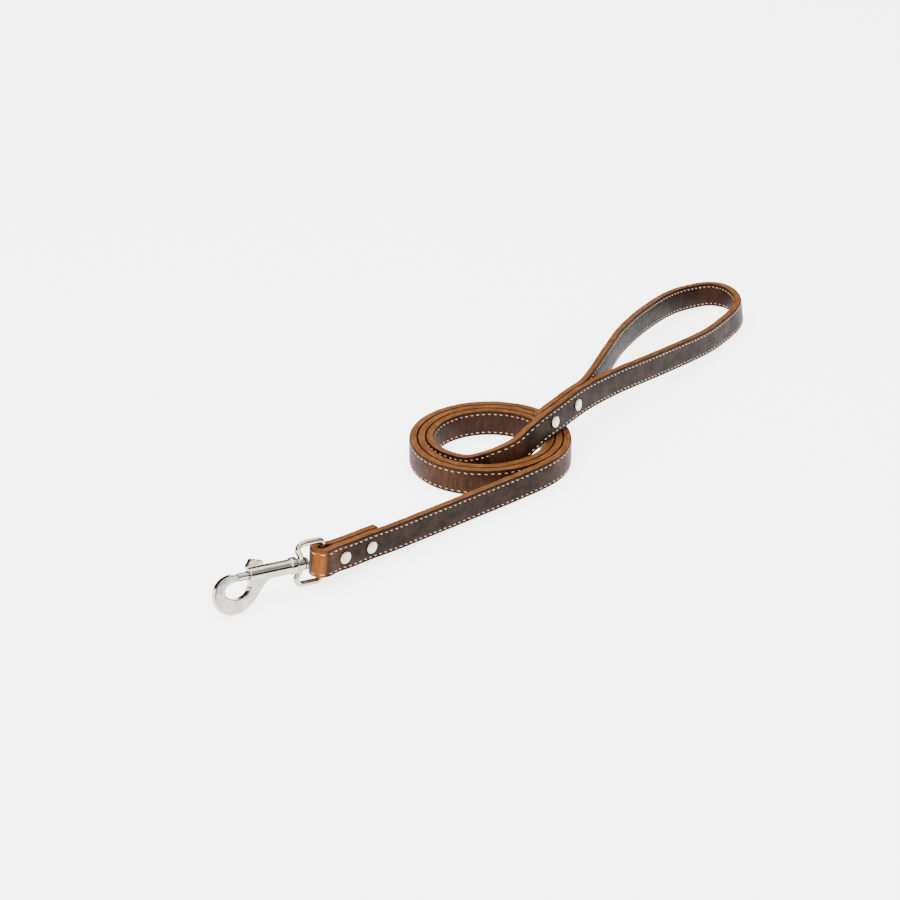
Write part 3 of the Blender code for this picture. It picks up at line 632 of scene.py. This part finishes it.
def baked(ob, tools=()):
    """The object with its modifiers applied, and its tools gone."""
    graph = bpy.context.evaluated_depsgraph_get()
    mesh = bpy.data.meshes.new_from_object(ob.evaluated_get(graph))
    old = ob.data
    ob.modifiers.clear()
    ob.data = mesh
    bpy.data.meshes.remove(old)
    for tool in tools:
        bpy.data.objects.remove(tool, do_unlink=True)
    return ob


def cast(ob, voxel, rounds, factor=0.5):
    """Rounds every edge as a casting's are: a fine remesh, then smoothing."""
    remesh = ob.modifiers.new("remesh", "REMESH")
    remesh.mode = "VOXEL"
    remesh.voxel_size = voxel
    soft = ob.modifiers.new("soft", "SMOOTH")
    soft.factor = factor
    soft.iterations = rounds
    baked(ob)
    ob.data.shade_smooth()
    return ob


def snap_body():
    """Collar, barrel and hook, cast in one: rounded all over, its bore and slot cut crisp afterwards."""
    outside = [
        (7.0, -2.1), (10.6, -2.2), (14.0, -1.5), (17.6, 0.4), (20.3, 3.8), (21.4, 8.2),
        (20.6, 12.8), (17.9, 16.8), (13.6, 19.0), (8.4, 18.9), (3.4, 17.2), (-0.8, 14.4),
        (-4.2, 11.1), (-7.0, 7.9), (-9.7, 5.2), (-13.0, 3.6),
    ]  # fmt: skip
    outline = curve_through(outside, 8) * MM
    outline = np.vstack([outline, [(-13.0 * MM, -2.1 * MM)]]) + (BARREL_FRONT, 0)
    body = new_object("snap_casting", plate(outline, HOOK_THICKNESS), NICKEL)
    edge = body.modifiers.new("edges", "BEVEL")
    edge.width = 1.15 * MM
    edge.segments = 4
    edge.limit_method = "ANGLE"
    edge.angle_limit = math.radians(60)
    centre, wide, down = (BARREL_FRONT + 8.0 * MM, 6.4 * MM), 7.1 * MM, 4.7 * MM
    turn = np.linspace(0, 2 * math.pi, 96, endpoint=False)
    ring = [(centre[0] + wide * math.cos(t), centre[1] + down * math.sin(t)) for t in turn]
    tools = [new_object("tool_hole", plate(ring, 4 * HOOK_THICKNESS))]
    cut(body, tools[-1])
    low, high = (BARREL_FRONT, -2 * BARREL_RADIUS, -HOOK_THICKNESS), (NOSE, centre[1], HOOK_THICKNESS)
    tools.append(new_object("tool_mouth", block(low, high)))
    cut(body, tools[-1])
    barrel = turned([
        (COLLAR_BACK, 0), (COLLAR_BACK, 0.86 * COLLAR_RADIUS),
        (COLLAR_BACK + 0.25 * MM, 0.95 * COLLAR_RADIUS), (COLLAR_BACK + 0.8 * MM, COLLAR_RADIUS),
        (COLLAR_FRONT - 1.2 * MM, COLLAR_RADIUS),
        (COLLAR_FRONT - 0.5 * MM, 0.94 * COLLAR_RADIUS), (COLLAR_FRONT, BARREL_RADIUS),
        (BARREL_FRONT - 0.5 * MM, BARREL_RADIUS), (BARREL_FRONT - 0.12 * MM, BARREL_RADIUS - 0.16 * MM),
        (BARREL_FRONT, BARREL_RADIUS - 0.5 * MM), (BARREL_FRONT, 0),
    ], 96)  # fmt: skip
    tools.append(new_object("tool_barrel", barrel))
    cut(body, tools[-1], "UNION")
    baked(body, tools)
    cast(body, 0.2 * MM, 7)
    bore = SHANK_RADIUS + GAP
    bored = turned([
        (COLLAR_BACK - MM, 0), (COLLAR_BACK - MM, bore), (COLLAR_FRONT, bore), (COLLAR_FRONT, BORE_RADIUS),
        (NOSE - 0.01 * MM, BORE_RADIUS), (NOSE - 0.01 * MM, 0),
    ], 64)  # fmt: skip
    half = STEM_RADIUS + GAP
    low, high = (STEM_PLACE - BOLT_TRAVEL - half, -2 * BARREL_RADIUS, -half), (STEM_PLACE + half, 0, half)
    tools = [new_object("tool_bore", bored), new_object("tool_slot", block(low, high))]
    for tool in tools:
        cut(body, tool)
    baked(body, tools)
    body.data.shade_smooth()
    body.data.set_sharp_from_angle(angle=math.radians(40))
    return body


def thumb_stud():
    """The thumb tab: a thin ramp with rounded edges."""
    foot = -BARREL_RADIUS - GAP
    outline = [
        (1.2, 0), (1.0, -0.6), (0.2, -1.5), (-1.2, -3.4), (-2.0, -4.15), (-3.2, -4.15), (-8.2, -2.6),
        (-9.05, -2.0), (-9.2, 0),
    ]  # fmt: skip
    outline = [(BARREL_FRONT + x * MM, foot + y * MM) for x, y in outline]
    tab = new_object("thumb_stud_cast", plate(outline, 3.0 * MM), NICKEL)
    top = foot - 0.75 * MM
    stem = turned([(top, 0), (top, STEM_RADIUS), (-GAP, STEM_RADIUS), (-GAP, 0)], 32)
    rod = new_object("tool_stem", stem)
    placed(rod, Matrix.Translation((STEM_PLACE, 0, 0)) @ Matrix.Rotation(math.radians(90), 4, "Z"))
    cut(tab, rod, "UNION")
    baked(tab, [rod])
    return cast(tab, 0.16 * MM, 5)


def tube_rings(points, radius, sides, normal):
    points = np.asarray(points, float)
    points = points[:-1]
    ahead = np.roll(points, -1, 0) - np.roll(points, 1, 0)
    rings = []
    for point, along in zip(points, ahead):
        along = along / np.linalg.norm(along)
        side = np.cross(along, normal)
        side /= np.linalg.norm(side)
        up = np.cross(side, along)
        turn = np.linspace(0, 2 * math.pi, sides, endpoint=False)
        rings.append([point + radius * (math.cos(t) * side + math.sin(t) * up) for t in turn])
    return rings


def swivel_eye():
    """The eye: smooth round wire with a hub, melted together as a casting."""
    front = EYE_DEPTH + EYE_BOW
    half = [(0.0, 0.0)]
    for turn in np.linspace(0, 90, 10):
        short, up = 1 - math.cos(math.radians(turn)), 1 - math.sin(math.radians(turn))
        half.append((3 * MM * short, EYE_CENTRE - 3 * MM * up))
    for turn in np.linspace(0, 80, 12):
        short, up = 1 - math.sin(math.radians(turn)), 1 - math.cos(math.radians(turn))
        half.append((front - 4.5 * MM * short, EYE_CENTRE - 4.5 * MM * up))
    half.append((EYE_DEPTH, COLLAR_RADIUS))
    path = [(x, 0, z) for x, z in half[1:]] + [(EYE_DEPTH, 0, 0)] + [(x, 0, -z) for x, z in half[:0:-1]]
    path.append(path[0])
    bm = bmesh.new()
    loops = [[bm.verts.new(p) for p in ring] for ring in tube_rings(path, BAR_RADIUS, 28, (0, 1, 0))]
    for a, b in zip(loops, loops[1:] + loops[:1]):
        for i in range(len(a)):
            j = (i + 1) % len(a)
            bm.faces.new((a[i], a[j], b[j], b[i]))
    eye = new_object("swivel_eye_cast", bm, NICKEL)
    back, ahead = EYE_DEPTH - HUB_LENGTH / 2, EYE_DEPTH + HUB_LENGTH / 2
    blunt = 0.3 * MM
    boss = [(back, 0), (back, HUB_RADIUS - blunt), (back + blunt, HUB_RADIUS)]
    boss += [(ahead - blunt, HUB_RADIUS), (ahead, HUB_RADIUS - blunt), (ahead, 0)]
    tool = new_object("tool_hub", turned(boss, 48))
    cut(eye, tool, "UNION")
    baked(eye, [tool])
    cast(eye, 0.2 * MM, 4)
    bore = SHANK_RADIUS + GAP
    drill = turned([(back - MM, 0), (back - MM, bore), (ahead + MM, bore), (ahead + MM, 0)], 48)
    tool = new_object("tool_hub_bore", drill)
    cut(eye, tool)
    baked(eye, [tool])
    eye.data.shade_smooth()
    eye.data.set_sharp_from_angle(angle=math.radians(40))
    return eye


def bolt_spring():
    """The compression spring, from the pin's flange to the bolt."""
    radius, sides, steps = BORE_RADIUS - GAP - SPRING_WIRE, 10, 24
    count = SPRING_TURNS * steps + 1
    turn = np.arange(count) * 2 * math.pi / steps
    share = np.arange(count) / (count - 1)
    reach = SPRING_START + (SPRING_END - SPRING_START) * share
    points = np.column_stack([reach, radius * np.cos(turn), radius * np.sin(turn)])
    bm = bmesh.new()
    loops = []
    for i in range(count):
        outward = np.array([0, math.cos(turn[i]), math.sin(turn[i])])
        around = np.linspace(0, 2 * math.pi, sides, endpoint=False)
        ring = [math.cos(t) * outward + math.sin(t) * np.array([1.0, 0, 0]) for t in around]
        loops.append([bm.verts.new(points[i] + SPRING_WIRE * p) for p in ring])
    for a, b in zip(loops, loops[1:]):
        for i in range(sides):
            bm.faces.new((a[i], a[(i + 1) % sides], b[(i + 1) % sides], b[i]))
    bm.faces.new(loops[0][::-1])
    bm.faces.new(loops[-1])
    return new_object("bolt_spring_coil", bm, STEEL)


# ---- the leash ----
path, places = strap_path()
face = strap_ply("face_ply", FACE, path, -1, places)
lining = strap_ply("lining_ply", LINING, path, 1, places)
for ply, node, word in (
    (face, "face_leather", "leather_dark"),
    (lining, "lining_leather", "leather_lining"),
):
    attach(ply, "strap")
    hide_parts(node)
sewn = stitches(path, places)
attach(sewn, "strap")
for name, place in zip(("snap_rivet_1", "snap_rivet_2", "loop_rivet_1", "loop_rivet_2"), places):
    rivet(name, place)

eye_turn = Matrix.Rotation(math.radians(SNAP_HEADING), 4, "Z")
eye_turn = eye_turn @ Matrix.Rotation(-math.radians(SNAP_PITCH), 4, "Y")
eye_seat = Matrix.Translation((*BAR_PLACE, AXIS_HEIGHT)) @ eye_turn
snap_seat = eye_seat @ Matrix.Rotation(math.radians(HOOK_ROLL - 90), 4, "X")
for make, seat, body, node in (
    (swivel_eye, eye_seat, "eye", "swivel_eye"),
    (snap_body, snap_seat, "snap", "snap_body"),
    (thumb_stud, snap_seat, "bolt", "thumb_stud"),
):
    piece = placed(make(), seat)
    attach(piece, body)
    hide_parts(node)
spring = placed(bolt_spring(), snap_seat)
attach(spring, "snap")
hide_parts("bolt_spring")
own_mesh(spring)
for node, look in (("swivel_pin", NICKEL), ("bolt", NICKEL)):
    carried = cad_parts[node]
    for slot in carried.material_slots:
        slot.material = look

# ---- floor, light, camera ----
def floor():
    made = Nodes("paper")
    place = made.add("TexCoord").outputs["Object"]
    grain = made.noise(place, 900.0, 2.0, 0.5)
    made.set(Base_Color=made.ramp(grain, (0.3, 0.93), (0.7, 0.96)), Roughness=0.9)
    made.shader.inputs["Specular IOR Level"].default_value = 0.0
    made.shader.inputs["Emission Color"].default_value = (1.0, 1.0, 1.0, 1)
    made.shader.inputs["Emission Strength"].default_value = 3.4
    bm = bmesh.new()
    bmesh.ops.create_grid(bm, x_segments=2, y_segments=2, size=6.0)
    ob = new_object("floor", bm, made.material)
    ob.location.z = -0.0001


def area(name, place, target, size, power, colour=(1, 1, 1)):
    light = bpy.data.lights.new(name, "AREA")
    light.shape = "RECTANGLE"
    light.size, light.size_y = size
    light.energy = power
    light.color = colour
    ob = bpy.data.objects.new(name, light)
    ob.location = place
    ob.rotation_euler = (Vector(target) - Vector(place)).to_track_quat("-Z", "Y").to_euler()
    bpy.context.scene.collection.objects.link(ob)
    return ob


def reflected(name, radius, low, high):
    """A black band round the set that only polished surfaces see, as a studio's dark walls are."""
    made = Nodes(name)
    made.set(Base_Color=(0.01, 0.01, 0.011, 1), Roughness=1.0)
    bm = bmesh.new()
    turn = np.linspace(0, 2 * math.pi, 96, endpoint=False)
    around = [(radius * math.cos(t), radius * math.sin(t)) for t in turn]
    a, b = ([bm.verts.new((x, y, z)) for x, y in around] for z in (low, high))
    for i in range(len(a)):
        bm.faces.new((a[i], a[(i + 1) % len(a)], b[(i + 1) % len(a)], b[i]))
    ob = new_object(name, bm, made.material)
    ob.visible_camera = ob.visible_diffuse = ob.visible_shadow = ob.visible_transmission = False


floor()
world = bpy.data.worlds.new("studio")
bpy.context.scene.world = world
world.use_nodes = True
world.node_tree.nodes["Background"].inputs["Color"].default_value = (1.0, 1.0, 1.0, 1)
world.node_tree.nodes["Background"].inputs["Strength"].default_value = 1.3
area("top_soft", (-0.1, 0.1, 1.3), (0, 0, 0), (1.6, 1.6), 30)
area("left_soft", (-1.3, -0.2, 0.8), (0, 0, 0), (1.0, 1.0), 12)
for name, radius, low, high in (("dark_band", 3.0, 0.1, 1.55), ("dark_strip", 2.9, 2.3, 2.9)):
    reflected(name, radius, low, high)

CAMERA_LENS, SENSOR = 109.06, 36.0
camera = bpy.data.cameras.new("camera")
camera.lens, camera.sensor_width = CAMERA_LENS, SENSOR
camera.clip_start, camera.clip_end = 0.05, 30
view = bpy.data.objects.new("camera", camera)
look = Vector((0.7305, 0.5115, -0.4524)).normalized()
view.location = Vector((-1.2042 + MIDDLE * MM, -0.7984, 0.7301))
view.rotation_mode = "QUATERNION"
view.rotation_quaternion = look.to_track_quat("-Z", "Y")
bpy.context.scene.collection.objects.link(view)
bpy.context.scene.camera = view
